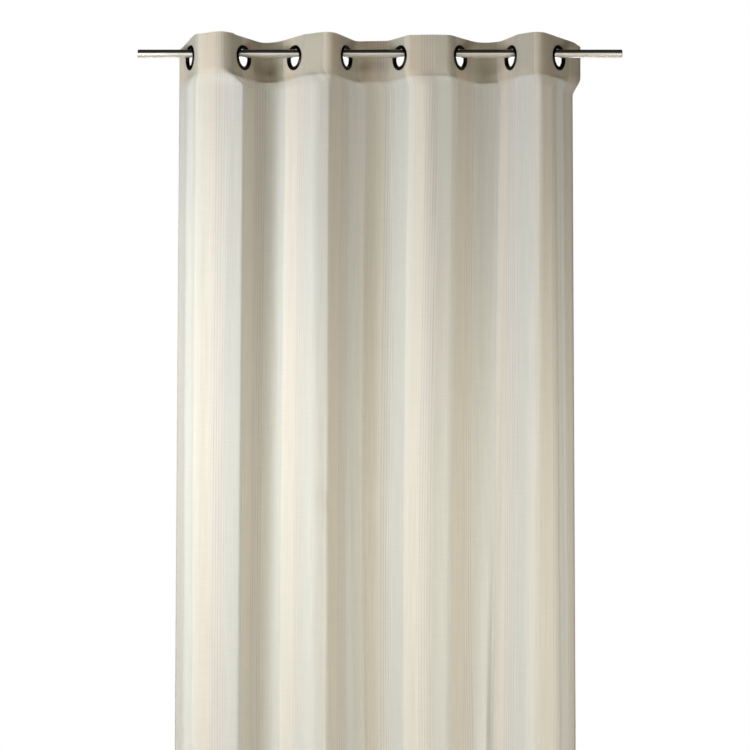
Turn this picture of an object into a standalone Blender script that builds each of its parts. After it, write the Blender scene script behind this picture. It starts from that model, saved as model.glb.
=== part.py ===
"""Sheer voile curtain with eyelets, hanging in soft folds from a plain steel rod.

Metres, +Z up, the curtain's front faces -Y. The origin is the middle of the rod, on its axis.
The panel and its heading facing are lofts: a plan of the folds at the heading, one just below it
and one low down are blended from height to height. The eyelets sit where the heading crosses the rod.
"""

import math
from collections import namedtuple

import bmesh
import bpy
from mathutils import Matrix, Vector

MM = 0.001

# Rod
ROD_RADIUS = 9.5 * MM
ROD_LENGTH = 1129 * MM
ROD_CHAMFER = 1.2 * MM
ROD_CHAMFER_STEPS = 2
ROD_SIDES = 40
ROD_SHARP_ANGLE = math.radians(40)

# Cloth
CLOTH_THICKNESS = 1.2 * MM
DROP = 2400 * MM
TOP_EDGE = 38.8 * MM
HEADING_DEPTH = 98 * MM
CLEARANCE = 0.3 * MM
HEM_Z = TOP_EDGE - DROP
HEADING_END = TOP_EDGE - HEADING_DEPTH

# Eyelets: a domed front ring with a neck through the cloth, and a flat ring behind
EYELET_OUTER = 29 * MM
EYELET_INNER = 20.5 * MM
EYELET_STEPS = 20
DOME_HEIGHT = 2.8 * MM
DOME_FROM_BORE = 2.4 * MM
DOME_FROM_RIM = 3 * MM
SHOULDER_FROM_RIM = 0.7 * MM
SHOULDER_DROP = 1.2 * MM
THROAT_FROM_BORE = 0.6 * MM
THROAT_DROP = 1 * MM
NECK_WALL = 1.3 * MM
NECK_EDGE = 0.5 * MM
NECK_EDGE_RISE = 1.2 * MM
BACK_RING = 2 * MM
BACK_EDGE = 1.2 * MM
HANG_PLAY = 1.5 * MM
EYELET_Z = ROD_RADIUS + HANG_PLAY - EYELET_INNER

# Round holes through the cloth for the necks
HOLE_RADIUS = EYELET_INNER + NECK_WALL + CLEARANCE
HOLE_SIDES = 20
CUTTER_LENGTH = 9.6 * MM

# Heights between which the plan changes: from just under the eyelets the folds settle to DROP_PLAN_Z, then
# drift evenly to LOW_PLAN_Z and keep that plan down to the hem
SETTLE_FROM = -40 * MM
DROP_PLAN_Z = -84 * MM
LOW_PLAN_Z = -1600 * MM

# Heights of the loft's rows, from the top edge down
HEADING_ROWS = (TOP_EDGE, SETTLE_FROM, -49 * MM, HEADING_END)
DROP_ROWS = tuple(z * MM for z in (-66, -74, -84, -200, -460, -800, -1200, -1600, -2000)) + (HEM_Z,)

# How far above and below a row the cloth's slope there is measured
SLOPE_PROBE = 1 * MM

# Steps of the loft along the plan: on each bend and on each straight between two bends
BEND_STEPS = 4
STRAIGHT_STEPS = 1

# Each row is one bend of the cloth, from its left side to its right. Columns, in millimetres: where the bend's
# corner lies from the rod's middle, how far it lies out in front of the rod, and how far before the corner the
# bend begins, first at the heading and then just below it, and then the corner's place low down. The last column
# is how far the top edge droops there.
Bend = namedtuple("Bend", "name head_x head_out head_round drop_x drop_out drop_round low_x low_out droop")
BENDS = (
    Bend("left_side", -477, -75, 0, -477, -71, 0, -487, -66, 14),
    Bend("front_1_left", -427, 33, 5, -443, 34, 14, -454, 34, 0),
    Bend("front_1_middle", -418, 39, 3, -390, 42, 22, -400, 41, 0),
    Bend("front_1_right", -360, 71, 24, -315, 45, 5, -327, 44, 0),
    Bend("back_1_left", -276, -72, 28, -291, -34, 18, -303, -34, 0),
    Bend("back_1_right", -235, -46, 16, -250, -38, 14, -264, -34, 0),
    Bend("front_2_left", -175, 32, 5, -198, 18, 18, -211, 16, 0),
    Bend("front_2_middle", -162, 39.5, 3, -152, 66, 16, -162, 64, 0),
    Bend("front_2_right", -113, 71, 40, -117, 58, 5, -123, 56, 0),
    Bend("back_2_left", -56, -47, 12, -52, -37, 6, -44, -33, 0),
    Bend("back_2_middle", -16, -43, 4, -32, -48, 10, -14, -46, 0),
    Bend("back_2_right", 20, -40, 8, 28, -44, 14, 24, -40, 0),
    Bend("front_3_left", 66, 29.8, 5, 62, 20, 8, 54, 20, 1),
    Bend("front_3_middle", 114, 33, 12, 104, 46, 20, 95, 50, 1),
    Bend("front_3_right", 162, 36, 11, 171, 24, 8, 156, 32, 2),
    Bend("back_3_left", 236, -70, 34, 217, -60, 18, 204, -28, 0),
    Bend("back_3_right", 284, -49, 12, 280, -52, 5, 247, -18, 0),
    Bend("back_3_crease", 292, -30.8, 3, 294, -20, 7, 262, -33, 0),
    Bend("front_4_left", 320, 33, 5, 308, 12, 8, 268, 0, 0),
    Bend("front_4_right", 366, 69, 32, 364, 68, 16, 346, 68, 0),
    Bend("front_4_edge", 440, -31.7, 3, 398, 42, 10, 410, 48, 0),
    Bend("back_4_left", 458, -56.2, 18, 440, -60, 18, 440, -10, 0),
    Bend("right_side", 479, -88, 0, 461, -94, 0, 466, -76, 4),
)

# Surfaces: colour, roughness, metallic
Surface = namedtuple("Surface", "colour roughness metallic")
SURFACES = {
    "voile": Surface((0.75, 0.70, 0.62, 1), 0.85, 0),
    "facing": Surface((0.78, 0.70, 0.61, 1), 0.85, 0),
    "dark_metal": Surface((0.035, 0.028, 0.022, 1), 0.3, 1),
    "steel": Surface((0.58, 0.55, 0.50, 1), 0.35, 1),
}


def clear_scene():
    for old in list(bpy.data.objects):
        bpy.data.objects.remove(old, do_unlink=True)


def new_collection(name):
    collection = bpy.data.collections.new(name)
    bpy.context.scene.collection.children.link(collection)
    return collection


def new_material(name):
    surface = SURFACES[name]
    material = bpy.data.materials.new(name)
    material.use_nodes = True
    shader = material.node_tree.nodes["Principled BSDF"]
    shader.inputs["Base Color"].default_value = surface.colour
    shader.inputs["Roughness"].default_value = surface.roughness
    shader.inputs["Metallic"].default_value = surface.metallic
    material.diffuse_color = surface.colour
    return material


def new_object(name, mesh, material, collection):
    piece = bpy.data.objects.new(name, mesh)
    mesh.materials.append(material)
    collection.objects.link(piece)
    return piece


def mix(a, b, share):
    return a + (b - a) * share


def smooth(share):
    share = min(max(share, 0.0), 1.0)
    return share * share * (3 - 2 * share)


def corners_at(z):
    """Corner points of the plan at height z, each with how far before it the bend begins."""
    settled = smooth((SETTLE_FROM - z) / (SETTLE_FROM - DROP_PLAN_Z))
    drift = min(max((DROP_PLAN_Z - z) / (DROP_PLAN_Z - LOW_PLAN_Z), 0.0), 1.0)
    corners = []
    for bend in BENDS:
        x = mix(bend.head_x, mix(bend.drop_x, bend.low_x, drift), settled)
        out = mix(bend.head_out, mix(bend.drop_out, bend.low_out, drift), settled)
        corners.append((Vector((x, -out)) * MM, mix(bend.head_round, bend.drop_round, settled) * MM))
    return corners


def plan_at(z):
    """The cloth's plan at height z: points along straights and parabolic bends, the same count at any height."""
    corners = corners_at(z)
    bends = [(corners[0][0], corners[0][0], corners[0][0])]
    for (before, _), (corner, reach), (after, _) in zip(corners, corners[1:], corners[2:]):
        start = corner + (before - corner).normalized() * reach
        end = corner + (after - corner).normalized() * reach
        bends.append((start, corner, end))
    bends.append((corners[-1][0], corners[-1][0], corners[-1][0]))
    points = [bends[0][0]]
    for (_, _, last_end), (start, corner, end) in zip(bends, bends[1:]):
        for step in range(1, STRAIGHT_STEPS + 1):
            points.append(last_end.lerp(start, step / STRAIGHT_STEPS))
        if corner == end:
            continue
        for step in range(1, BEND_STEPS + 1):
            share = step / BEND_STEPS
            points.append(start.lerp(corner, share).lerp(corner.lerp(end, share), share))
    return points


def backward(points, z):
    """Unit normals of the cloth along its plan at height z, pointing to the back."""
    normals = []
    for i, (above, below) in enumerate(zip(plan_at(z + SLOPE_PROBE), plan_at(z - SLOPE_PROBE))):
        along = points[min(i + 1, len(points) - 1)] - points[max(i - 1, 0)]
        down = below - above
        across = Vector((along.x, along.y, 0))
        normals.append(across.cross(Vector((down.x, down.y, -2 * SLOPE_PROBE))).normalized())
    return normals


def droops(points):
    """How far the top edge hangs below its level at each point, eased between the bends' own values."""
    marks = [(bend.head_x * MM, bend.droop * MM) for bend in BENDS]
    values = []
    for point in points:
        value = marks[-1][1]
        for (left, droop), (right, next_droop) in zip(marks, marks[1:]):
            if left <= point.x <= right:
                value = mix(droop, next_droop, smooth((point.x - left) / (right - left)))
                break
        values.append(value)
    return values


def cloth_mesh(name, heights, setback):
    """The middle surface of a cloth: the plan at each height, set back by setback and joined row to row."""
    mesh = bpy.data.meshes.new(name)
    loft = bmesh.new()
    rows = []
    for z in heights:
        points = plan_at(z)
        falls = droops(points) if z == TOP_EDGE else [0.0] * len(points)
        row = []
        for point, back, fall in zip(points, backward(points, z), falls):
            row.append(loft.verts.new(Vector((point.x, point.y, z - fall)) + back * setback))
        rows.append(row)
    for upper, lower in zip(rows, rows[1:]):
        for i in range(len(upper) - 1):
            loft.faces.new((upper[i], lower[i], lower[i + 1], upper[i + 1]))
    loft.to_mesh(mesh)
    loft.free()
    mesh.shade_smooth()
    return mesh


def eyelet_places():
    """Centre and front direction of each eyelet: where a straight of the heading crosses the rod."""
    places = []
    corners = [corner for corner, _ in corners_at(TOP_EDGE)]
    for left, right in zip(corners, corners[1:]):
        if left.y * right.y < 0:
            centre = left.lerp(right, left.y / (left.y - right.y))
            along = (right - left).normalized()
            places.append((Vector((centre.x, 0, EYELET_Z)), Vector((along.y, -along.x, 0))))
    return places


def facing_matrix(centre, front):
    """Places a piece turned round Z so that its +Z points to the front of the cloth at centre."""
    side = Vector((0, 0, 1)).cross(front)
    turn = Matrix((side, Vector((0, 0, 1)), front)).transposed()
    return Matrix.Translation(centre) @ turn.to_4x4()


def cut_holes(piece, cutters):
    cut = piece.modifiers.new("eyelet_holes", "BOOLEAN")
    cut.operation = "DIFFERENCE"
    cut.operand_type = "COLLECTION"
    cut.collection = cutters
    cut.solver = "EXACT"


def make_cloth(name, heights, setback, material, collection, cutters):
    piece = new_object(name, cloth_mesh(name, heights, setback), material, collection)
    thickness = piece.modifiers.new("thickness", "SOLIDIFY")
    thickness.thickness = CLOTH_THICKNESS
    thickness.offset = 0
    cut_holes(piece, cutters)
    return piece


def make_cutters(collection):
    for number, (centre, front) in enumerate(eyelet_places(), 1):
        mesh = bpy.data.meshes.new(f"hole_{number}")
        shape = bmesh.new()
        bmesh.ops.create_cone(
            shape,
            cap_ends=True,
            segments=HOLE_SIDES,
            radius1=HOLE_RADIUS,
            radius2=HOLE_RADIUS,
            depth=CUTTER_LENGTH,
        )
        shape.to_mesh(mesh)
        shape.free()
        cutter = bpy.data.objects.new(f"hole_{number}", mesh)
        cutter.matrix_world = facing_matrix(centre, front)
        cutter.hide_render = True
        cutter.display_type = "WIRE"
        collection.objects.link(cutter)


def turned_mesh(name, profile):
    """Closed profile of (radius, height) pairs, down its outer side first, as a mesh to turn round Z."""
    mesh = bpy.data.meshes.new(name)
    outline = [(radius, 0, height) for radius, height in profile]
    edges = [(i, (i + 1) % len(outline)) for i in range(len(outline))]
    mesh.from_pydata(outline, edges, [])
    return mesh


def turn(piece):
    screw = piece.modifiers.new("turned", "SCREW")
    screw.steps = EYELET_STEPS
    screw.render_steps = EYELET_STEPS
    screw.merge_threshold = 0.00001
    screw.use_merge_vertices = True
    screw.use_smooth_shade = True


def make_eyelets(material, collection):
    cloth_front = CLOTH_THICKNESS / 2
    facing_back = -(CLOTH_THICKNESS * 1.5 + CLEARANCE)
    seat = cloth_front + CLEARANCE
    crown = seat + DOME_HEIGHT
    back_face = facing_back - CLEARANCE
    neck_outer = EYELET_INNER + NECK_WALL
    neck_end = back_face - BACK_RING
    front_profile = (
        (EYELET_INNER + DOME_FROM_BORE, crown),
        (EYELET_OUTER - DOME_FROM_RIM, crown),
        (EYELET_OUTER - SHOULDER_FROM_RIM, crown - SHOULDER_DROP),
        (EYELET_OUTER, seat),
        (neck_outer, seat),
        (neck_outer, neck_end),
        (EYELET_INNER + NECK_EDGE, neck_end),
        (EYELET_INNER, neck_end + NECK_EDGE_RISE),
        (EYELET_INNER, seat),
        (EYELET_INNER + THROAT_FROM_BORE, crown - THROAT_DROP),
    )
    ring_inner = neck_outer + CLEARANCE
    back_profile = (
        (EYELET_OUTER - BACK_EDGE, back_face),
        (EYELET_OUTER, mix(back_face, neck_end, 0.5)),
        (EYELET_OUTER - BACK_EDGE, neck_end),
        (ring_inner, neck_end),
        (ring_inner, back_face),
    )
    for number, (centre, front) in enumerate(eyelet_places(), 1):
        for side, profile in (("front", front_profile), ("back", back_profile)):
            name = f"eyelet_{side}_{number}"
            piece = new_object(name, turned_mesh(name, profile), material, collection)
            piece.matrix_world = facing_matrix(centre, front)
            turn(piece)


def make_rod(material, collection):
    mesh = bpy.data.meshes.new("rod")
    shape = bmesh.new()
    bmesh.ops.create_cone(
        shape,
        cap_ends=True,
        segments=ROD_SIDES,
        radius1=ROD_RADIUS,
        radius2=ROD_RADIUS,
        depth=ROD_LENGTH,
    )
    shape.to_mesh(mesh)
    shape.free()
    rod = new_object("rod", mesh, material, collection)
    rod.matrix_world = Matrix.Rotation(math.pi / 2, 4, "Y")
    chamfer = rod.modifiers.new("chamfer", "BEVEL")
    chamfer.width = ROD_CHAMFER
    chamfer.segments = ROD_CHAMFER_STEPS
    chamfer.limit_method = "ANGLE"
    mesh.shade_smooth()
    mesh.set_sharp_from_angle(angle=ROD_SHARP_ANGLE)


def build():
    clear_scene()
    curtain = new_collection("voile_curtain")
    cutters = new_collection("cutters")
    make_rod(new_material("steel"), curtain)
    make_cutters(cutters)
    make_cloth("panel", HEADING_ROWS + DROP_ROWS, 0, new_material("voile"), curtain, cutters)
    facing_setback = CLOTH_THICKNESS + CLEARANCE
    make_cloth("heading", HEADING_ROWS, facing_setback, new_material("facing"), curtain, cutters)
    make_eyelets(new_material("dark_metal"), curtain)


build()
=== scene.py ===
"""Looks of the sheer striped voile curtain on its rod. Metres, +Z up, the front faces -Y, origin mid-rod."""

import math
from collections import namedtuple

import bmesh
import bpy
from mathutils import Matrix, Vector


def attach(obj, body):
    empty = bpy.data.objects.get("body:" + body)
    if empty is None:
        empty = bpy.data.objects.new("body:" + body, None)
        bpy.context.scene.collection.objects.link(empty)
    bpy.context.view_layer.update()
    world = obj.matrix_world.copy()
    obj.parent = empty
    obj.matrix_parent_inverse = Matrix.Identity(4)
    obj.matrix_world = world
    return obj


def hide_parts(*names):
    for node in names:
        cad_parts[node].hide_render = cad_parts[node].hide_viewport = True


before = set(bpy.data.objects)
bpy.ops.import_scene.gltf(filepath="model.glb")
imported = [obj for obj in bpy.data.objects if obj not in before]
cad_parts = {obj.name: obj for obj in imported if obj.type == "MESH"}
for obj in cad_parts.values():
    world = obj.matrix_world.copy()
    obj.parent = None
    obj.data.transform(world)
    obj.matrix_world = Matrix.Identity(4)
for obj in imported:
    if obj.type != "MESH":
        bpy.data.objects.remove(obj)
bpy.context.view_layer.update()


# ---------------------------------------------------------------------------------------------- camera
# The camera stands 3.7 m in front of the rod, level, a third of the way down the curtain, so that the
# rod's ends, the heading and the upper two thirds of the drop fill the square picture.
CAMERA_PLACE = (-0.0117, -3.7, -0.7495)
SENSOR_WIDTH, FOCAL_LENGTH = 36, 76.12

lens = bpy.data.cameras.new("camera")
lens.sensor_width = SENSOR_WIDTH
lens.lens = FOCAL_LENGTH
camera = bpy.data.objects.new("camera", lens)
camera.location = CAMERA_PLACE
camera.rotation_euler = (math.radians(90), 0, 0)
bpy.context.scene.collection.objects.link(camera)
bpy.context.scene.camera = camera


# ---------------------------------------------------------------------------------------------- panel
# One length of sheer voile, 1.40 m wide and 2.40 m long as sewn, woven with lengthwise stripes. Its side
# hems and bottom hem are turned to the back and stitched. It hangs in four uneven front folds, deep and
# round in the heading, crisper on their right-hand edges below it.
MM = 0.001
TOP_EDGE, HEADING_END, LOW_Z, HEM_Z = 38.8 * MM, -59.2 * MM, -1600 * MM, -2361.2 * MM
SETTLE_FROM, DROP_Z = -40 * MM, -84 * MM
CLOTH_WIDTH, SIDE_HEM, BOTTOM_HEM, HEM_GAP = 1400 * MM, 18 * MM, 70 * MM, 0.9 * MM
# The rod carries the eyelets by the top of their bores, so their middles lie below its axis
EYELET_Z, HOLE_RADIUS, HOLE_REACH = -9.5 * MM, 25 * MM, 8 * MM
# Mesh steps: across the straights and the bends, and down the heading, the change below it, and the drop
STRAIGHT_STEP, BEND_STEPS = 6 * MM, 6
HEADING_STEP, SETTLE_STEP, DROP_STEP = 6 * MM, 4 * MM, 16 * MM
# The droop of the top edge's ends has run out this far below it
DROOP_DEPTH = 0.03

# One row for each bend of the cloth, left to right, in millimetres: the corner's place sideways and out
# from the rod, and how far before it the bend begins, in the heading and just below it; its place low
# down, where the bend is as round as above; and how far the top edge droops there
Bend = namedtuple("Bend", "head_x head_out head_round drop_x drop_out drop_round low_x low_out droop")
BENDS = (
    Bend(-477, -75, 0, -477, -71, 0, -487, -66, 14),
    Bend(-427, 33, 5, -443, 34, 14, -454, 34, 0),
    Bend(-418, 39, 3, -390, 42, 22, -400, 41, 0),
    Bend(-360, 71, 24, -315, 45, 5, -327, 44, 0),
    Bend(-276, -72, 28, -291, -34, 18, -303, -34, 0),
    Bend(-235, -46, 16, -250, -38, 14, -264, -34, 0),
    Bend(-175, 32, 5, -198, 18, 18, -211, 16, 0),
    Bend(-162, 39.5, 3, -152, 66, 16, -162, 64, 0),
    Bend(-113, 71, 40, -117, 58, 5, -123, 56, 0),
    Bend(-56, -47, 12, -52, -37, 6, -44, -33, 0),
    Bend(-16, -43, 4, -32, -48, 10, -14, -46, 0),
    Bend(20, -40, 8, 28, -44, 14, 24, -40, 0),
    Bend(66, 29.8, 5, 62, 20, 8, 54, 20, 1),
    Bend(114, 33, 12, 104, 46, 20, 95, 50, 1),
    Bend(162, 36, 11, 171, 24, 8, 156, 32, 2),
    Bend(236, -70, 34, 217, -60, 18, 204, -28, 0),
    Bend(284, -49, 12, 280, -52, 5, 247, -18, 0),
    Bend(292, -30.8, 3, 294, -20, 7, 262, -33, 0),
    Bend(320, 33, 5, 308, 12, 8, 268, 0, 0),
    Bend(366, 69, 32, 364, 68, 16, 346, 68, 0),
    Bend(440, -31.7, 3, 398, 42, 10, 410, 48, 0),
    Bend(458, -56.2, 18, 440, -60, 18, 440, -10, 0),
    Bend(479, -88, 0, 461, -94, 0, 466, -76, 4),
)


def mix(a, b, share):
    return a + (b - a) * share


def smooth(share):
    share = min(max(share, 0.0), 1.0)
    return share * share * (3 - 2 * share)


def corners_at(z):
    """The plan's corner points at height z, each with how far before it the bend begins."""
    settled = smooth((SETTLE_FROM - z) / (SETTLE_FROM - DROP_Z))
    drift = min(max((DROP_Z - z) / (DROP_Z - LOW_Z), 0.0), 1.0)
    corners = []
    for bend in BENDS:
        x = mix(bend.head_x, mix(bend.drop_x, bend.low_x, drift), settled)
        out = mix(bend.head_out, mix(bend.drop_out, bend.low_out, drift), settled)
        corners.append((Vector((x, -out)) * MM, mix(bend.head_round, bend.drop_round, settled) * MM))
    return corners


def straight_steps():
    """How many steps the straight between two neighbouring bends needs where it is longest."""
    longest = [0.0] * (len(BENDS) - 1)
    for z in (0.0, DROP_Z, LOW_Z):
        corners = [corner for corner, _ in corners_at(z)]
        for i, (left, right) in enumerate(zip(corners, corners[1:])):
            longest[i] = max(longest[i], (right - left).length)
    return [max(2, round(length / STRAIGHT_STEP)) for length in longest]


STEPS_OF_STRAIGHTS = straight_steps()


def plan_at(z):
    """The cloth's plan at height z, along straights and parabolic bends, left to right."""
    corners = corners_at(z)
    bends = [(corners[0][0],) * 3]
    for (before, _), (corner, reach), (after, _) in zip(corners, corners[1:], corners[2:]):
        start = corner + (before - corner).normalized() * reach
        end = corner + (after - corner).normalized() * reach
        bends.append((start, corner, end))
    bends.append((corners[-1][0],) * 3)
    points = [bends[0][0]]
    for (_, _, last_end), (start, corner, end), steps in zip(bends, bends[1:], STEPS_OF_STRAIGHTS):
        points += [last_end.lerp(start, step / steps) for step in range(1, steps + 1)]
        if corner != end:
            for step in range(1, BEND_STEPS + 1):
                share = step / BEND_STEPS
                points.append(start.lerp(corner, share).lerp(corner.lerp(end, share), share))
    return points


def droop_at(x):
    """How far the top edge hangs below its level at x."""
    for left, right in zip(BENDS, BENDS[1:]):
        if left.head_x * MM <= x <= right.head_x * MM:
            share = (x / MM - left.head_x) / (right.head_x - left.head_x)
            return mix(left.droop, right.droop, smooth(share)) * MM
    return (BENDS[0] if x < 0 else BENDS[-1]).droop * MM


def side_of(points, i):
    """Unit normal of a plan at its point i, pointing to the back of the cloth."""
    along = (points[min(i + 1, len(points) - 1)] - points[max(i - 1, 0)]).normalized()
    return Vector((-along.y, along.x))


# Creases pressed in or hung in: flat place and height of both ends in millimetres, half width,
# and how far the cloth stands forward there (back where negative). Each runs out over a quarter of its
# length at both ends, and sideways within three half widths.
Crease = namedtuple("Crease", "x z x_to z_to half out")
CREASE_FADE, CREASE_REACH = 0.25, 3
CREASES = (
    # the heading's bulge over the first fold, and the pleat between the second and third folds
    Crease(215, 100, 215, -100, 13, 5.0),
    Crease(668, -60, 684, -2300, 6, -6.0),
    Crease(680, -120, 700, -2340, 15, -4.0),
    # the level crease low on the left, and the dent on the second fold
    Crease(20, -1556, 235, -1566, 6, 1.5),
    Crease(30, -1574, 240, -1582, 8, -1.6),
    Crease(520, -1010, 560, -1060, 18, -4.5),
    # long soft waves down the drop
    Crease(150, -100, 162, -1500, 16, -1.6),
    Crease(205, -110, 196, -900, 10, 1.3),
    Crease(92, -90, 104, -1300, 12, 1.5),
    Crease(262, -100, 258, -1750, 5, 2.2),
    Crease(325, -130, 345, -1500, 16, 1.6),
    Crease(430, -300, 455, -1900, 18, -1.6),
    Crease(486, -96, 500, -800, 9, 1.4),
    Crease(596, -100, 640, -1900, 10, 2.0),
    Crease(716, -110, 700, -1500, 16, 1.6),
    Crease(742, -90, 735, -1200, 8, -1.5),
    Crease(836, -100, 850, -1300, 18, -1.7),
    Crease(880, -110, 872, -1900, 12, 1.5),
    Crease(985, -100, 1010, -1600, 8, 2.0),
    Crease(1022, -95, 1030, -900, 7, -1.4),
    Crease(1130, -100, 1142, -1600, 16, -1.6),
    Crease(1182, -120, 1172, -1900, 9, 1.4),
    Crease(1262, -92, 1268, -2100, 10, 2.2),
    Crease(1315, -110, 1322, -1700, 9, -1.8),
)


def relief(flat, z):
    """How far the creases carry the cloth forward at a flat place and height, in metres."""
    total = 0.0
    for crease in CREASES:
        dx, dz = crease.x_to - crease.x, crease.z_to - crease.z
        length = math.hypot(dx, dz)
        px, pz = flat / MM - crease.x, z / MM - crease.z
        along = (px * dx + pz * dz) / length
        off = (px * dz - pz * dx) / length
        run_out = CREASE_FADE * length
        fade = smooth(along / run_out) * smooth((length - along) / run_out)
        if fade > 0 and abs(off) < CREASE_REACH * crease.half:
            total += crease.out * fade * math.exp(-((off / crease.half) ** 2))
    return total * MM


def eyelet_places():
    """Centre and front direction of each eyelet: where a straight of the heading crosses the rod."""
    corners = [corner for corner, _ in corners_at(0.0)]
    for left, right in zip(corners, corners[1:]):
        if left.y * right.y < 0:
            centre = left.lerp(right, left.y / (left.y - right.y))
            along = (right - left).normalized()
            yield Vector((centre.x, 0, EYELET_Z)), Vector((along.y, -along.x, 0))


def open_eyelet_holes(sheet):
    """Cuts a round hole under each eyelet: the cells inside it go, and their edge moves out to the circle."""
    for centre, front in eyelet_places():
        along = Vector((-front.y, front.x, 0))
        inside = {}
        for vert in sheet.verts:
            offset = vert.co - centre
            radius = math.hypot(offset.dot(along), offset.z)
            if radius < HOLE_RADIUS and abs(offset.dot(front)) < HOLE_REACH:
                inside[vert] = radius
        lost = [face for face in sheet.faces if all(vert in inside for vert in face.verts)]
        bmesh.ops.delete(sheet, geom=lost, context="FACES")
        for vert, radius in inside.items():
            if vert.is_valid:
                offset = vert.co - centre
                flat_part = offset - front * offset.dot(front)
                vert.co += flat_part * (HOLE_RADIUS / radius - 1)


Knot = namedtuple("Knot", "place flat flat_z normal")


def turned_in(knots, edge):
    """The strip of a side hem: the points next to an edge again, folded round it to the back."""
    return [
        Knot(knot.place + Vector((*knot.normal, 0)) * HEM_GAP, 2 * edge - knot.flat, knot.flat_z, knot.normal)
        for knot in reversed(knots)
    ]


def cloth_grid(name, rows, setback):
    """A sheet with side hems, through the plan at each row: its height, how far it is set back, and its
    height on the cloth before it was hung, which the map 'flat' keeps with its place across, in metres.
    """
    mesh = bpy.data.meshes.new(name)
    sheet = bmesh.new()
    flat_map = sheet.loops.layers.uv.new("flat")
    grid = []
    for z, back, flat_z in rows:
        points = plan_at(z)
        lengths = [0.0]
        for a, b in zip(points, points[1:]):
            lengths.append(lengths[-1] + (b - a).length)
        stretch = CLOTH_WIDTH / lengths[-1]
        row = []
        for i, point in enumerate(points):
            flat = lengths[i] * stretch
            normal = side_of(points, i)
            x, y = point + normal * (setback + back - relief(flat, z))
            fall = droop_at(point.x) * max(0.0, 1 - (TOP_EDGE - z) / DROOP_DEPTH) if z > 0 else 0.0
            row.append(Knot(Vector((x, y, z - fall)), flat, flat_z, normal))
        left = [knot for knot in row if knot.flat <= SIDE_HEM]
        right = [knot for knot in row if knot.flat >= CLOTH_WIDTH - SIDE_HEM]
        row = turned_in(left, 0.0) + row + turned_in(right, CLOTH_WIDTH)
        grid.append([(sheet.verts.new(knot.place), knot.flat, knot.flat_z) for knot in row])
    wide = min(len(row) for row in grid)
    for upper, lower in zip(grid, grid[1:]):
        for i in range(wide - 1):
            ring = (upper[i], lower[i], lower[i + 1], upper[i + 1])
            face = sheet.faces.new([vert for vert, _, _ in ring])
            for loop, (_, flat, flat_z) in zip(face.loops, ring):
                loop[flat_map].uv = (flat, flat_z)
    open_eyelet_holes(sheet)
    sheet.to_mesh(mesh)
    sheet.free()
    mesh.shade_smooth()
    piece = bpy.data.objects.new(name, mesh)
    bpy.context.scene.collection.objects.link(piece)
    return piece


def steps_between(top, bottom, step):
    """Heights from top to bottom, about a step apart."""
    count = max(1, round((top - bottom) / step))
    return [mix(top, bottom, i / count) for i in range(count + 1)]


def linear(code, alpha=1.0):
    """An sRGB colour such as E8E2D5 in the renderer's linear values."""
    shares = [int(code[i : i + 2], 16) / 255 for i in (0, 2, 4)]
    return (*(s / 12.92 if s <= 0.04045 else ((s + 0.055) / 1.055) ** 2.4 for s in shares), alpha)


def add(tree, kind, links=(), values=(), stops=(), **settings):
    """Adds one node with its settings, its sockets' values, its ramp's stops and the links into it."""
    node = tree.nodes.new(kind)
    for key, value in settings.items():
        setattr(node, key, value)
    for socket, value in dict(values).items():
        node.inputs[socket].default_value = value
    for socket, source in dict(links).items():
        tree.links.new(source, node.inputs[socket])
    for i, (place, colour) in enumerate(stops):
        elements = node.color_ramp.elements
        element = elements[i] if i < 2 else elements.new(place)
        element.position, element.color = place, colour
    return node


def new_material(name):
    material = bpy.data.materials.new(name)
    material.use_nodes = True
    material.node_tree.nodes.clear()
    return material, material.node_tree


# Sheer plain weave of cotton and linen-like yarns, matt and soft, which glows warm where light comes
# through. Each repeat of 135 mm has a cream band, a band of rosy beige, five cords of thicker yarn, and
# a wide plain band so open that it looks grey-white. Places in a repeat are shares of it.
STRIPE_REPEAT, STRIPE_START = 0.135, 0.128
BAND_COLOURS = (
    (0.0, "D6D2C8"),
    (0.085, "D5D1C7"),
    (0.11, "D5CEC1"),
    (0.29, "D4CEC2"),
    (0.32, "D2CDC5"),
    (0.53, "D0CCC4"),
    (0.56, "CBCBC5"),
    (0.97, "CCCCC5"),
    (0.995, "D6D2C8"),
)
# How closely the yarns lie across a repeat, from the most open band to the closest one
MOST_OPEN, CLOSEST = 0.88, 0.99
CLOSENESS = (
    (0.0, CLOSEST),
    (0.1, 0.97),
    (0.3, 0.95),
    (0.54, 0.93),
    (0.57, MOST_OPEN),
    (0.96, MOST_OPEN),
    (0.99, CLOSEST),
)
CORD_PITCH, CORD_BAND = 0.0064, ((0.29, 0), (0.31, 1), (0.53, 1), (0.55, 0))
# The stitched turn-in of the facing shows as a pale line, and the doubled cloth above it is warmer: one
# tone for each share of the way from 4 mm below the heading's end to 6 mm above it
SEAM_FROM, SEAM_TO = HEADING_END - 4 * MM, HEADING_END + 6 * MM
SEAM_TONES = (
    (0.0, "FCFCFC"),
    (0.32, "F8F8F8"),
    (0.4, "FFFFFF"),
    (0.55, "FFFFFF"),
    (0.64, "FFF9F0"),
    (1.0, "FFFAF1"),
)
# The real yarns lie 0.4 mm apart, here 1.2 mm so that they don't blur away. Slubs in the weft are some
# 2 mm high and 60 mm long, and uneven warp ends run 0.2 m down the cloth.
YARN_PITCH, SLUBS_PER_METRE, ENDS_PER_METRE = 0.0012, (16, 480, 1), (420, 5, 1)


# How light the yarns are at their darkest, what their unevenness adds to that and how much of it is the
# slubs', and how much darker the lines between the cords are; then the relief of weave and cords
SHADE_LOW, SHADE_RANGE, SLUB_SHARE, CORD_SHADE = 0.83, 0.24, 0.45, 0.15
WEAVE_RELIEF, CORD_RELIEF = 0.15, 0.5
# How much of the light that meets the yarns goes through them, in the most open band and the closest
THROUGH_OPEN, THROUGH_CLOSE = 0.38, 0.24


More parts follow.
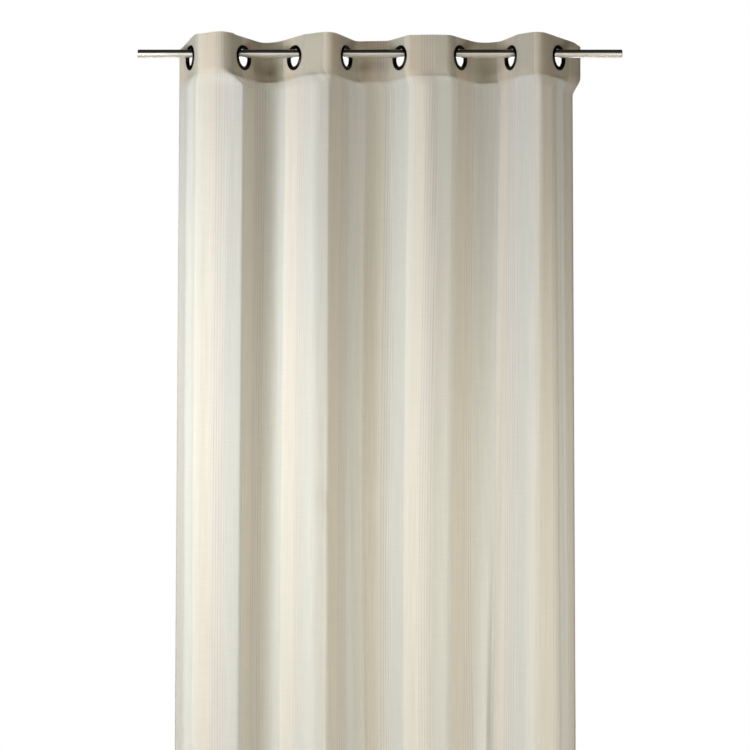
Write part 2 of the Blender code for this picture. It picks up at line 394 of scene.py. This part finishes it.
def voile(name, gap_share):
    """The voile; gap_share is how much of the gaps between its yarns one can see through."""
    material, tree = new_material(name)
    flat = add(tree, "ShaderNodeUVMap", uv_map="flat")
    parts = add(tree, "ShaderNodeSeparateXYZ", {0: flat.outputs[0]})
    across, down = parts.outputs[0], parts.outputs[1]
    count = add(
        tree,
        "ShaderNodeMath",
        {0: across},
        {1: 1 / STRIPE_REPEAT, 2: -STRIPE_START / STRIPE_REPEAT},
        operation="MULTIPLY_ADD",
    )
    place = add(tree, "ShaderNodeMath", {0: count.outputs[0]}, operation="FRACT")

    bands = add(
        tree,
        "ShaderNodeValToRGB",
        {0: place.outputs[0]},
        stops=[(share, linear(code)) for share, code in BAND_COLOURS],
    )
    closeness = add(
        tree,
        "ShaderNodeValToRGB",
        {0: place.outputs[0]},
        stops=[(share, (close, close, close, 1)) for share, close in CLOSENESS],
    )
    # the five cords: thin darker lines between them
    wave = add(tree, "ShaderNodeMath", {0: across}, {1: 2 * math.pi / CORD_PITCH}, operation="MULTIPLY")
    sine = add(tree, "ShaderNodeMath", {0: wave.outputs[0]}, operation="SINE")
    ripple = add(tree, "ShaderNodeMapRange", {0: sine.outputs[0]}, {1: 0.1, 2: 1.0, 3: 0.0, 4: -1.0})
    window = add(
        tree,
        "ShaderNodeValToRGB",
        {0: place.outputs[0]},
        stops=[(share, (on, on, on, 1)) for share, on in CORD_BAND],
    )
    cords = add(
        tree,
        "ShaderNodeMath",
        {0: ripple.outputs[0], 1: window.outputs[0]},
        operation="MULTIPLY",
    )

    # uneven yarns: level slubs and lengthwise ends, a little lighter and darker
    weft = add(tree, "ShaderNodeMapping", {0: flat.outputs[0]}, {3: SLUBS_PER_METRE})
    slubs = add(
        tree,
        "ShaderNodeTexNoise",
        {0: weft.outputs[0]},
        {"Scale": 1, "Detail": 2, "Roughness": 0.6},
    )
    warp = add(tree, "ShaderNodeMapping", {0: flat.outputs[0]}, {3: ENDS_PER_METRE})
    ends = add(
        tree,
        "ShaderNodeTexNoise",
        {0: warp.outputs[0]},
        {"Scale": 1, "Detail": 2, "Roughness": 0.5},
    )
    uneven = add(
        tree,
        "ShaderNodeMath",
        {0: slubs.outputs[0], 2: ends.outputs[0]},
        {1: SLUB_SHARE},
        operation="MULTIPLY_ADD",
    )
    shade = add(
        tree,
        "ShaderNodeMath",
        {0: uneven.outputs[0]},
        {1: SHADE_RANGE, 2: SHADE_LOW},
        operation="MULTIPLY_ADD",
    )
    shade = add(
        tree,
        "ShaderNodeMath",
        {0: cords.outputs[0], 2: shade.outputs[0]},
        {1: CORD_SHADE},
        operation="MULTIPLY_ADD",
    )
    colour = add(
        tree,
        "ShaderNodeMix",
        {6: bands.outputs[0], 7: shade.outputs[0]},
        {0: 1.0},
        data_type="RGBA",
        blend_type="MULTIPLY",
    )
    seam_place = add(tree, "ShaderNodeMapRange", {0: down}, {1: SEAM_FROM, 2: SEAM_TO})
    seam = add(
        tree,
        "ShaderNodeValToRGB",
        {0: seam_place.outputs[0]},
        stops=[(share, linear(code)) for share, code in SEAM_TONES],
    )
    tinted = add(
        tree,
        "ShaderNodeMix",
        {6: colour.outputs[2], 7: seam.outputs[0]},
        {0: 1.0},
        data_type="RGBA",
        blend_type="MULTIPLY",
    )

    # the relief of the weave, the uneven yarns and the cords
    warp_wave = add(tree, "ShaderNodeMath", {0: across}, {1: 2 * math.pi / YARN_PITCH}, operation="MULTIPLY")
    weft_wave = add(tree, "ShaderNodeMath", {0: down}, {1: 2 * math.pi / YARN_PITCH}, operation="MULTIPLY")
    warp_sine = add(tree, "ShaderNodeMath", {0: warp_wave.outputs[0]}, operation="SINE")
    weft_sine = add(tree, "ShaderNodeMath", {0: weft_wave.outputs[0]}, operation="SINE")
    weave = add(
        tree,
        "ShaderNodeMath",
        {0: warp_sine.outputs[0], 1: weft_sine.outputs[0]},
        operation="MULTIPLY",
    )
    raised = add(
        tree,
        "ShaderNodeMath",
        {0: weave.outputs[0], 2: uneven.outputs[0]},
        {1: WEAVE_RELIEF},
        operation="MULTIPLY_ADD",
    )
    raised = add(
        tree,
        "ShaderNodeMath",
        {0: cords.outputs[0], 2: raised.outputs[0]},
        {1: CORD_RELIEF},
        operation="MULTIPLY_ADD",
    )
    bump = add(
        tree,
        "ShaderNodeBump",
        {"Height": raised.outputs[0]},
        {"Strength": 0.35, "Distance": 0.0006},
    )

    cloth = add(
        tree,
        "ShaderNodeBsdfPrincipled",
        {"Base Color": tinted.outputs[2], "Normal": bump.outputs[0]},
        {"Roughness": 0.85, "Specular IOR Level": 0.2, "Sheen Weight": 0.12, "Sheen Roughness": 0.5},
    )
    # light that has crossed the yarns comes out warmer than what their face throws back
    strained = add(
        tree,
        "ShaderNodeMix",
        {6: tinted.outputs[2]},
        {0: 1.0, 7: linear("FFF3D6")},
        data_type="RGBA",
        blend_type="MULTIPLY",
    )
    through = add(
        tree,
        "ShaderNodeBsdfTranslucent",
        {"Color": strained.outputs[2], "Normal": bump.outputs[0]},
    )
    # the open bands let more light come through, and show more of what lies behind them
    sheer = add(
        tree,
        "ShaderNodeMapRange",
        {0: closeness.outputs[0]},
        {1: MOST_OPEN, 2: CLOSEST, 3: THROUGH_OPEN, 4: THROUGH_CLOSE},
    )
    body = add(
        tree,
        "ShaderNodeMixShader",
        {0: sheer.outputs[0], 1: cloth.outputs[0], 2: through.outputs[0]},
    )
    gaps = add(tree, "ShaderNodeBsdfTransparent")
    yarn_share = add(
        tree,
        "ShaderNodeMath",
        {0: closeness.outputs[0]},
        {1: gap_share, 2: 1 - gap_share},
        operation="MULTIPLY_ADD",
    )
    veil = add(
        tree,
        "ShaderNodeMixShader",
        {0: yarn_share.outputs[0], 1: gaps.outputs[0], 2: body.outputs[0]},
    )
    add(tree, "ShaderNodeOutputMaterial", {0: veil.outputs[0]})
    return material


panel_rows = [(z, 0.0, z) for z in steps_between(TOP_EDGE, SETTLE_FROM, HEADING_STEP)]
panel_rows += [(z, 0.0, z) for z in steps_between(SETTLE_FROM, DROP_Z, SETTLE_STEP)[1:]]
panel_rows += [(z, 0.0, z) for z in steps_between(DROP_Z, HEM_Z, DROP_STEP)[1:]]
panel_rows += [
    (z, 2 * HEM_GAP, 2 * HEM_Z - z) for z in steps_between(HEM_Z + BOTTOM_HEM, HEM_Z, DROP_STEP)[::-1]
]
panel = cloth_grid("curtain_panel", panel_rows, 0.0)
panel.data.materials.append(voile("striped_sheer_voile", 0.72))
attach(panel, "root")
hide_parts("panel")


# ---------------------------------------------------------------------------------------------- heading
# A second strip of the same voile, 98 mm deep, lies behind the top of the panel and carries the eyelets
# with it. Its lower edge is turned in and sewn through, which shows as a pale line in front.
FACING_BEHIND, FACING_BELOW, FACING_STEP = 1.6 * MM, 0.6 * MM, 5.5 * MM
TURN_IN_GAP, TURN_IN_ROWS = 0.7 * MM, (0.4 * MM, 2.5 * MM, 5 * MM)

heading_rows = [(z, 0.0, z) for z in steps_between(TOP_EDGE - FACING_BELOW, HEADING_END, FACING_STEP)]
heading_rows += [(HEADING_END + rise, TURN_IN_GAP, HEADING_END - rise) for rise in TURN_IN_ROWS]
heading = cloth_grid("heading_facing", heading_rows, FACING_BEHIND)
heading.data.materials.append(voile("striped_sheer_voile_facing", 0.43))
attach(heading, "root")
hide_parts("heading")


# ---------------------------------------------------------------------------------------------- eyelets
# Pressed metal snap eyelets, 58 mm over the rim and 41 mm inside, plated a dark bronze that is nearly
# black. The domed front goes through both layers of cloth and snaps into a flat ring behind.
EYELET_INNER, EYELET_OUTER = 20.5 * MM, 29 * MM
# Heights along the eyelet's axis, from the middle of the panel: where the dome starts, and how high it
# is; where the back ring starts, how thick it is, and how far past that start the bore keeps its width
SEAT, DOME_HEIGHT, DOME_STEPS = 0.9 * MM, 2.6 * MM, 14
BACK_FACE, BACK_THICKNESS, BORE_END = -2.4 * MM, 2 * MM, 1 * MM
NECK_OUTER, NECK_EDGE, BACK_INNER = 21.8 * MM, 20.9 * MM, 22.1 * MM


def ring(name, profile, centre, front, sides=72):
    """Turns a closed profile of (radius, height) round an axis that points to the cloth's front."""
    mesh = bpy.data.meshes.new(name)
    shape = bmesh.new()
    up = Vector((0, 0, 1))
    across = up.cross(front)
    loops = []
    for i in range(sides):
        angle = 2 * math.pi * i / sides
        out = across * math.cos(angle) + up * math.sin(angle)
        loops.append([shape.verts.new(centre + out * radius + front * height) for radius, height in profile])
    for a, b in zip(loops, loops[1:] + loops[:1]):
        for j in range(len(profile)):
            k = (j + 1) % len(profile)
            shape.faces.new((a[j], b[j], b[k], a[k]))
    bmesh.ops.recalc_face_normals(shape, faces=shape.faces)
    shape.to_mesh(mesh)
    shape.free()
    mesh.shade_smooth()
    mesh.set_sharp_from_angle(angle=math.radians(50))
    piece = bpy.data.objects.new(name, mesh)
    bpy.context.scene.collection.objects.link(piece)
    return piece


# Dark bronze plating over pressed metal: glossy, with faint polishing marks and a little wear
bronze, tree = new_material("dark_bronze_plating")
spot = add(tree, "ShaderNodeTexCoord")
marks = add(tree, "ShaderNodeTexNoise", {0: spot.outputs["Object"]}, {"Scale": 900, "Detail": 3})
rough = add(tree, "ShaderNodeMapRange", {0: marks.outputs[0]}, {3: 0.2, 4: 0.38})
cloud = add(tree, "ShaderNodeTexNoise", {0: spot.outputs["Object"]}, {"Scale": 120, "Detail": 2})
tone = add(
    tree,
    "ShaderNodeValToRGB",
    {0: cloud.outputs[0]},
    stops=((0.3, linear("1A1512")), (0.7, linear("32291F"))),
)
plating = add(
    tree,
    "ShaderNodeBsdfPrincipled",
    {"Base Color": tone.outputs[0], "Roughness": rough.outputs[0]},
    {"Metallic": 1.0},
)
add(tree, "ShaderNodeOutputMaterial", {0: plating.outputs[0]})

mid, half = (EYELET_INNER + EYELET_OUTER) / 2, (EYELET_OUTER - EYELET_INNER) / 2
turns = [math.pi * i / DOME_STEPS for i in range(DOME_STEPS + 1)]
dome = [(mid - half * math.cos(turn), SEAT + DOME_HEIGHT * math.sin(turn)) for turn in turns]
front_profile = dome + [
    (NECK_OUTER, SEAT),
    (NECK_OUTER, BACK_FACE - BACK_THICKNESS),
    (NECK_EDGE, BACK_FACE - BACK_THICKNESS),
    (EYELET_INNER, BACK_FACE - BORE_END),
]
# flat in front, with a rounded rim behind
back_profile = [
    (BACK_INNER, BACK_FACE),
    (EYELET_OUTER - 0.8 * MM, BACK_FACE),
    (EYELET_OUTER - 0.2 * MM, BACK_FACE - 0.4 * MM),
    (EYELET_OUTER, BACK_FACE - 1 * MM),
    (EYELET_OUTER - 0.3 * MM, BACK_FACE - 1.6 * MM),
    (EYELET_OUTER - 1.2 * MM, BACK_FACE - BACK_THICKNESS),
    (BACK_INNER, BACK_FACE - BACK_THICKNESS),
]
for number, (centre, front) in enumerate(eyelet_places(), 1):
    for side, profile in (("front", front_profile), ("back", back_profile)):
        eyelet = ring(f"eyelet_ring_{side}_{number}", profile, centre, front)
        eyelet.data.materials.append(bronze)
        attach(eyelet, "root")
        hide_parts(f"eyelet_{side}_{number}")


# ---------------------------------------------------------------------------------------------- rod
# Plain round steel tube, 19 mm, nickel-coloured and brushed lengthwise. The frame's own rod has the right
# shape, so it keeps it and gets the metal's finish.
# Fine lines along the tube make its shine long and soft: about 1.4 to the millimetre round it
LINES_PER_METRE = (12, 1400, 1400)

steel, tree = new_material("brushed_nickel_steel")
spot = add(tree, "ShaderNodeTexCoord")
stretch = add(tree, "ShaderNodeMapping", {0: spot.outputs["Object"]}, {3: LINES_PER_METRE})
lines = add(tree, "ShaderNodeTexNoise", {0: stretch.outputs[0]}, {"Scale": 1, "Detail": 3})
rough = add(tree, "ShaderNodeMapRange", {0: lines.outputs[0]}, {3: 0.24, 4: 0.38})
tone = add(
    tree,
    "ShaderNodeValToRGB",
    {0: lines.outputs[0]},
    stops=((0.35, linear("C6BFB3")), (0.65, linear("DAD4C9"))),
)
scratch = add(
    tree,
    "ShaderNodeBump",
    {"Height": lines.outputs[0]},
    {"Strength": 0.15, "Distance": 0.0002},
)
metal = add(
    tree,
    "ShaderNodeBsdfPrincipled",
    {"Base Color": tone.outputs[0], "Roughness": rough.outputs[0], "Normal": scratch.outputs[0]},
    {"Metallic": 1.0, "Anisotropic": 0.4},
)
add(tree, "ShaderNodeOutputMaterial", {0: metal.outputs[0]})
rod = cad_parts["rod"]
rod.data.materials.clear()
rod.data.materials.append(steel)


# ---------------------------------------------------------------------------------------------- room
# A pale floor just under the hem, a white surround, a wide soft light from the left and in front with
# small ones that fill the folds, and soft ones from behind that show the cloth's sheerness.
FLOOR_RADIUS, FLOOR_DROP = 3.1, 0.03

bpy.context.scene.view_settings.view_transform = "Standard"
floor_mesh = bpy.data.meshes.new("floor")
disc = bmesh.new()
bmesh.ops.create_circle(disc, cap_ends=True, segments=96, radius=FLOOR_RADIUS)
disc.to_mesh(floor_mesh)
disc.free()
floor = bpy.data.objects.new("floor", floor_mesh)
floor.location = (0, 0, HEM_Z - FLOOR_DROP)
bpy.context.scene.collection.objects.link(floor)
pale, tree = new_material("pale_floor")
paint = add(tree, "ShaderNodeBsdfPrincipled", values={"Base Color": linear("F4F2EE"), "Roughness": 0.7})
add(tree, "ShaderNodeOutputMaterial", {0: paint.outputs[0]})
floor_mesh.materials.append(pale)

# The surround is white to look at, dim as a light, and darker still where the metal mirrors it
SURROUND_LIGHT, SURROUND_MIRRORED = 0.085, 0.02

world = bpy.data.worlds.new("surround")
bpy.context.scene.world = world
world.use_nodes = True
tree = world.node_tree
tree.nodes.clear()
ray = add(tree, "ShaderNodeLightPath")
glow = add(
    tree,
    "ShaderNodeMapRange",
    {0: ray.outputs["Is Glossy Ray"]},
    {3: SURROUND_LIGHT, 4: SURROUND_MIRRORED},
)
dim = add(tree, "ShaderNodeBackground", {1: glow.outputs[0]}, {0: linear("FFFFFF")})
white = add(tree, "ShaderNodeBackground", values={0: linear("FFFFFF"), 1: 1.0})
seen = add(
    tree,
    "ShaderNodeMixShader",
    {0: ray.outputs["Is Camera Ray"], 1: dim.outputs[0], 2: white.outputs[0]},
)
add(tree, "ShaderNodeOutputWorld", {0: seen.outputs[0]})


def area_light(name, place, target, size, power, colour):
    """A soft rectangular lamp, width and height in metres, power in watts, aimed at the target."""
    light = bpy.data.lights.new(name, "AREA")
    light.shape = "RECTANGLE"
    light.size, light.size_y = size
    light.energy = power
    light.color = linear(colour)[:3]
    lamp = bpy.data.objects.new(name, light)
    lamp.location = place
    lamp.rotation_euler = (Vector(target) - Vector(place)).to_track_quat("-Z", "Y").to_euler()
    lamp.visible_camera = False
    bpy.context.scene.collection.objects.link(lamp)
    return lamp


area_light("key", (-2.6, -2.4, -1.1), (0, 0, -1.1), (1.2, 1.2), 61, "F4F9FF")
area_light("far_left", (-3.2, -1.6, -0.9), (0, 0, -0.9), (0.8, 1.4), 8, "F4F9FF")
area_light("side", (-2.4, -0.9, -1.0), (0, 0, -1.0), (1.0, 2.0), 5.4, "F4F9FF")
area_light("near_left_high", (-1.0, -0.7, -0.5), (-0.36, 0, -0.6), (0.3, 0.9), 7.2, "F4F9FF")
area_light("near_left_low", (-1.1, -1.0, -1.2), (-0.36, 0, -1.2), (0.3, 0.9), 4.0, "F4F9FF")
area_light("near_right", (1.2, -0.9, -1.0), (0.45, 0, -1.0), (0.3, 1.2), 4.8, "FFFDF8")
area_light("low_right", (1.4, -1.6, -1.7), (0, 0, -1.4), (0.8, 1.0), 12, "FFFDF8")
# two long strips light the heading from above, for the cloth alone: the metal doesn't mirror them
front_strip = area_light("high", (-0.15, -0.6, 0.3), (-0.1, 0, 0), (1.1, 0.12), 1.0, "FFF8EE")
back_strip = area_light("high_behind", (0.0, 0.45, 0.3), (0, 0, 0.02), (1.2, 0.1), 1.2, "FFFAF2")
front_strip.visible_glossy = False
back_strip.visible_glossy = False
area_light("behind_low", (0.1, 1.4, -2.2), (0, 0, -1.5), (2.4, 1.0), 33, "F4F9FF")
area_light("behind", (0, 0.9, -0.95), (0, 0, -0.95), (1.2, 0.7), 9.6, "F8FBFF")
# a long pale card for the metal alone to mirror
card = area_light("card", (0, -1.5, -0.3), (0, 0, -0.3), (5.0, 0.9), 16, "FFFEFB")
card.visible_diffuse = False
card.visible_transmission = False
